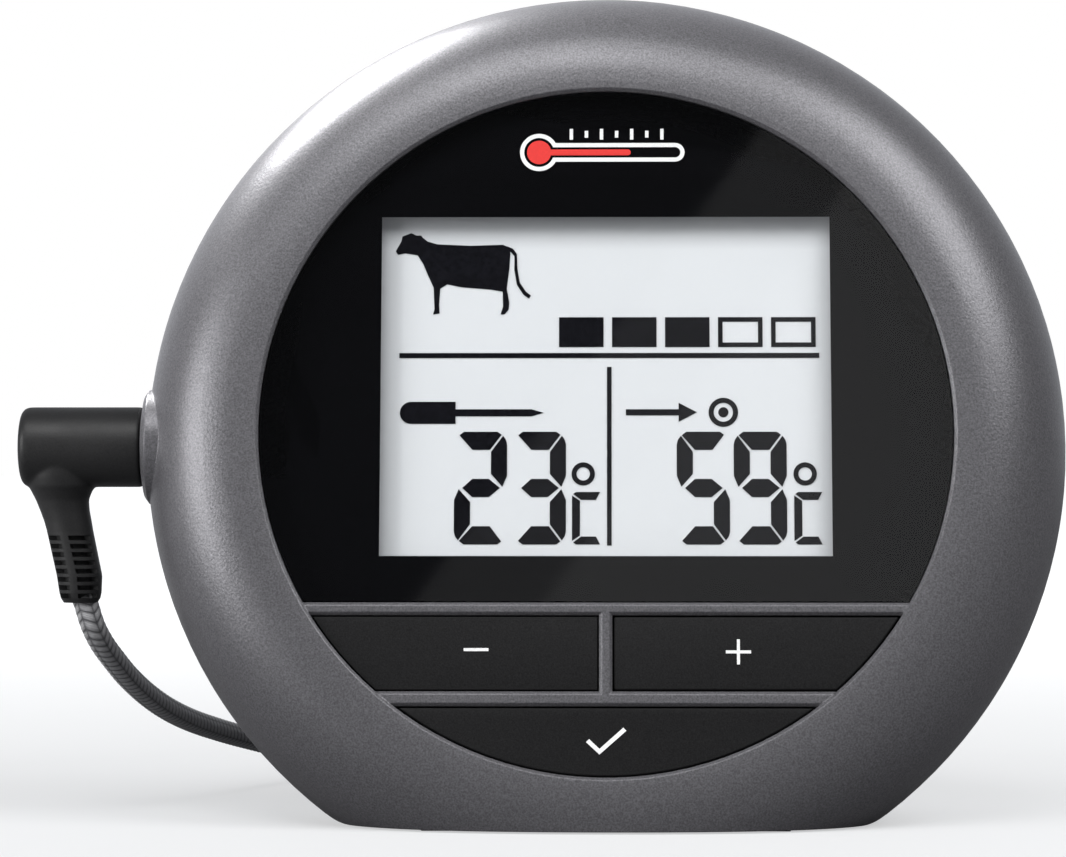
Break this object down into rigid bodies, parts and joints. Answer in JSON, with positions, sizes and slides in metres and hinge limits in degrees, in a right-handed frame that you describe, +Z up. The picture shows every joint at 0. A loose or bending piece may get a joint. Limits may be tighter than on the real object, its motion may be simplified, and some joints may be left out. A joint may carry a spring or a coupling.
{
  "type": "meat thermometer",
  "caption": "Round leaning barbecue thermometer with a large display, three push buttons and a braided probe lead on a right-angle jack plug.",
  "frame": {"origin": "on the resting plane, under the middle of the housing", "axes": "+Z up, front face towards -Y, jack plug towards -X"},
  "size_m": [0.1048, 0.1733, 0.0829],
  "materials": {
    "ring_paint": "satin dark grey paint with a fine metallic speckle on moulded plastic",
    "button_black": "fine matt charcoal texture",
    "window_clear": "clear gloss acrylic",
    "mask_black": "black print on the back of the window",
    "lcd_glass": "bright white display glass with a matt front film",
    "lcd_ink": "dark display segments",
    "white_plastic": "white moulded plastic",
    "pad_rubber": "matt black rubber",
    "screw_steel": "plated steel",
    "board_green": "green solder mask on glass-fibre board",
    "chip_black": "black moulded plastic",
    "can_steel": "drawn metal can",
    "contact_brass": "gold-coloured plated brass",
    "cell_sleeve": "printed cell sleeve, plain blue and silver",
    "plug_black": "matt black moulded vinyl with a fine grain",
    "lead_braid": "grey herringbone braid",
    "tie_black": "black strap",
    "probe_steel": "brushed stainless steel"
  },
  "bodies": {
    "housing": {"front_bezel": "ring_paint", "rear_housing": "ring_paint", "foot_pads": "pad_rubber", "housing_screws": "screw_steel", "display_window": "window_clear", "window_mask": "mask_black", "lcd_panel": "lcd_glass", "lcd_segments": "lcd_ink", "lcd_frame": "white_plastic", "light_guide": "white_plastic", "backlight_led": "white_plastic", "zebra_strip": "pad_rubber", "switch_bodies": "chip_black", "main_board": "board_green", "board_screws": "screw_steel", "controller_chip": "chip_black", "crystal": "can_steel", "capacitors": "can_steel", "board_resistors": "chip_black", "buzzer": "chip_black", "jack_socket": "chip_black", "jack_contacts": "contact_brass", "upper_cell": "cell_sleeve", "lower_cell": "cell_sleeve", "battery_springs": "screw_steel", "battery_contacts": "screw_steel"},
    "minus": {"minus_button": "button_black", "minus_plunger": "white_plastic"},
    "plus": {"plus_button": "button_black", "plus_plunger": "white_plastic"},
    "set": {"set_button": "button_black", "set_plunger": "white_plastic"},
    "door": {"battery_door": "ring_paint"},
    "lead": {"plug_body": "plug_black", "plug_sleeve": "contact_brass", "plug_insulator": "chip_black", "plug_tip": "contact_brass", "probe_lead": "lead_braid", "lead_coil": "lead_braid", "coil_tie": "tie_black", "probe_spring": "probe_steel", "probe_crimp": "probe_steel", "probe_needle": "probe_steel"}
  },
  "joints": [
    {"name": "minus_press", "type": "slide", "parent": "housing", "child": "minus", "axis": [0, 0.9877, -0.1564], "range_m": [0, 0.0005], "stiffness_N_per_m": 1500, "springref_m": -0.0003},
    {"name": "plus_press", "type": "slide", "parent": "housing", "child": "plus", "axis": [0, 0.9877, -0.1564], "range_m": [0, 0.0005], "stiffness_N_per_m": 1500, "springref_m": -0.0003},
    {"name": "set_press", "type": "slide", "parent": "housing", "child": "set", "axis": [0, 0.9877, -0.1564], "range_m": [0, 0.0005], "stiffness_N_per_m": 1500, "springref_m": -0.0003},
    {"name": "battery_door_hinge", "type": "hinge", "parent": "housing", "child": "door", "pos_m": [0, 0.00965, 0.02368], "axis": [-1, 0, 0], "range_deg": [0, 80]},
    {"name": "plug_pull", "type": "slide", "parent": "housing", "child": "lead", "axis": [-1, 0, 0], "range_m": [0, 0.014]}
  ]
}
